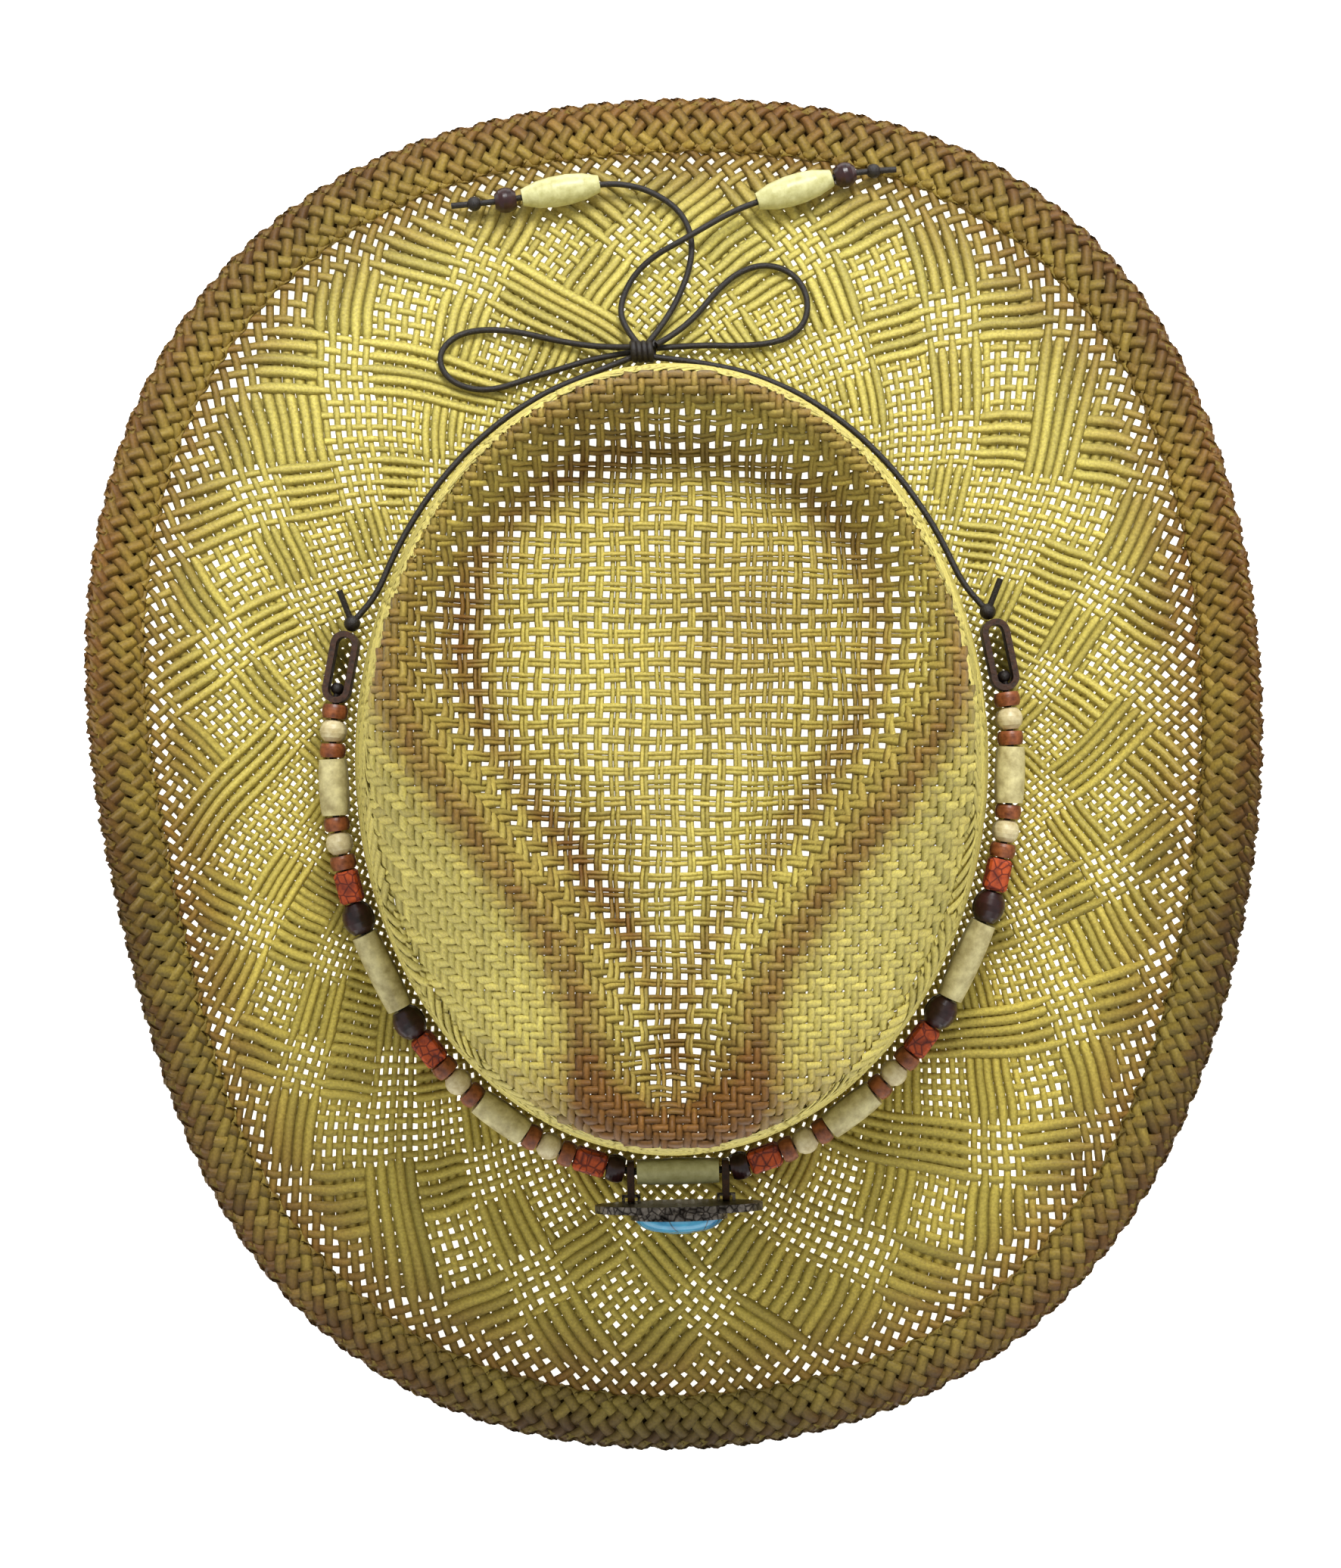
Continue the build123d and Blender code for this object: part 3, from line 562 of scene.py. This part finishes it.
def edge_rope():
    """Two strands twisted round the outline, which gives the edge its scallops."""
    strands = []
    for phase in (0, math.pi):
        a = np.linspace(0, 2 * np.pi, 3361)
        twist = EDGE_TWISTS * a + phase
        radius = brim_radius(a) - 0.9 + 0.8 * np.cos(twist)
        x = radius * np.cos(a)
        y = radius * np.sin(a)
        z = brim_height(x, y) - WEAVE_MIDDLE + 0.9 * np.sin(twist)
        points = np.stack([x, y, z], -1)
        normal = np.stack([np.cos(a) * np.cos(twist), np.sin(a) * np.cos(twist), np.sin(twist)], -1)
        # painted shade: each rope strand is darker on its side turned in towards the brim and brightest on
        # its side turned out
        tint = edge_tint(points, a, twist) * (0.9 + 0.1 * np.cos(twist))[:, None]
        strands.append((points, normal, np.full(len(a), 2.6), tint))
    return ribbon_mesh("edge_rope", strands, 1.1)


edge_rope()

# ---------------------------------------------------------------- woven crown


def side_pitch(a, rise):
    return np.full_like(rise, 2 * np.pi * 88 / 144 / math.sqrt(2))


side_pieces = spiral_weave("crown_side", side_surface, 144, 0.95, even, block_pattern(6, 0.06, 0.0),
                           side_tint, side_pitch, 0.5, 0.33, 1.0, 0.84)
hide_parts("crown")

TOP_PITCH = 3.7


def top_strands(lengthwise):
    """Strands straight across the crown top, or straight along it, laid over its shape."""
    edge_x = TOP_HALF_X - 1.0
    edge_y = TOP_HALF_Y - 1.2
    limit, run = (edge_x, edge_y) if lengthwise else (edge_y, edge_x)
    strands = []
    pitch = TOP_PITCH / 2
    for i in range(-int(limit / pitch), int(limit / pitch) + 1):
        fixed = i * pitch + chance.normal(0, 0.12)
        half = run * math.sqrt(max(0, 1 - (fixed / limit) ** 2))
        if half < 3:
            continue
        free = np.arange(-half, half + 0.1, pitch / 3)
        x, y = (np.full_like(free, fixed), free) if lengthwise else (free, np.full_like(free, fixed))
        place, half_width = teardrop(x, y)
        inside = (1 - place) * half_width
        opening = smooth_step((inside - 3) / 9)
        k = np.floor(free / pitch).astype(int)
        blend = smooth_step(free / pitch - k)
        wide_k = np.floor(free / TOP_PITCH).astype(int)
        wide_blend = smooth_step(free / TOP_PITCH - wide_k)
        twill = np.where((k + i) % 4 < 2, 1, -1)
        twill_next = np.where((k + 1 + i) % 4 < 2, 1, -1)
        dense = (twill + (twill_next - twill) * blend) * (1 if lengthwise else -1)
        plain = np.where((wide_k + i // 2) % 2 == 0, 1, -1)
        loose = (plain - 2 * plain * wide_blend) * (1 if lengthwise else -1)
        lift = dense + (loose - dense) * opening
        shift = (0.36 if i % 2 else -0.36) * opening
        if lengthwise:
            x = x - shift
        else:
            y = y - shift
        x = x + 0.3 * np.sin(0.21 * y + 0.13 * x) * opening
        y = y + 0.3 * np.sin(0.17 * x - 0.19 * y) * opening
        z = crown_top(x, y) - 0.7
        rise_x = (crown_top(x + 0.3, y) - crown_top(x - 0.3, y)) / 0.6
        rise_y = (crown_top(x, y + 0.3) - crown_top(x, y - 0.3)) / 0.6
        normal = np.stack([-rise_x, -rise_y, np.ones_like(x)], -1)
        normal /= np.linalg.norm(normal, axis=1, keepdims=True)
        points = np.stack([x, y, z], -1)
        cross_rise = rise_x if lengthwise else rise_y
        stretch = np.minimum(2.0, np.sqrt(1 + cross_rise ** 2))
        width = pitch * (1.0 - 0.38 * opening) * stretch * chance.uniform(0.9, 1.08)
        tint = top_tint(points) * chance.normal(1.0, 0.11)
        strands.append((points + normal * (lift * 0.3)[:, None], normal, width, tint))
    return ribbon_mesh("crown_top_" + ("a" if lengthwise else "b"), strands, 0.45)


top_strands(True)
top_strands(False)

# ---------------------------------------------------------------- knots of wrapped cord


def wrapped_knot(node_name, turns, radius, along):
    """A knot: cord wound round the cords that pass through it."""
    low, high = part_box(node_name)
    middle = (np.array(low) + np.array(high)) / 2
    half = (np.array(high) - np.array(low)) / 2
    across = [k for k in range(3) if k != along]
    points = []
    steps = int(turns * 10)
    for s in range(steps + 1):
        share = s / steps
        point = middle.copy()
        point[along] += (2 * share - 1) * (half[along] - radius)
        point[across[0]] += (half[across[0]] - radius) * math.cos(turns * 2 * math.pi * share)
        point[across[1]] += (half[across[1]] - radius) * math.sin(turns * 2 * math.pi * share)
        points.append(tuple(point))
    knot = curve("knot_" + node_name, points, radius)
    knot.data.materials.append(LOOKS["waxed_cord"])
    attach(knot, "hatband")
    return knot


bow_knot = wrapped_knot("bow_knot", 4, 0.0009, 0)
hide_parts("bow_knot")

# ---------------------------------------------------------------- floor and light

FLOOR_SIZE = 40
FLOOR_GLOW = 0.9                         # lights the holes of the weave from behind

bpy.ops.mesh.primitive_plane_add(size=FLOOR_SIZE, location=(0, 0, -0.0005))
floor = bpy.context.object
floor.name = "floor"
floor.data.materials.append(material("floor", (244, 244, 244), (250, 250, 250), 3, 0.9, 0.0))
glow = floor.data.materials[0].node_tree.nodes["Principled BSDF"]
glow.inputs["Emission Color"].default_value = (1, 1, 1, 1)
glow.inputs["Emission Strength"].default_value = FLOOR_GLOW

world = bpy.data.worlds.new("studio")
scene.world = world
world.use_nodes = True
world.node_tree.nodes["Background"].inputs["Color"].default_value = (1, 1, 1, 1)
world.node_tree.nodes["Background"].inputs["Strength"].default_value = 0.56


def area_light(name, place, size, power):
    data = bpy.data.lights.new(name, "AREA")
    data.size = size
    data.energy = power
    light = bpy.data.objects.new(name, data)
    light.location = place
    light.rotation_euler = (-Vector(place)).to_track_quat("-Z", "Y").to_euler()
    scene.collection.objects.link(light)


area_light("key", (0.2, 1.6, 1.6), 0.8, 46)
area_light("fill", (0.0, -1.7, 1.5), 1.6, 6)
scene.view_settings.view_transform = "Standard"
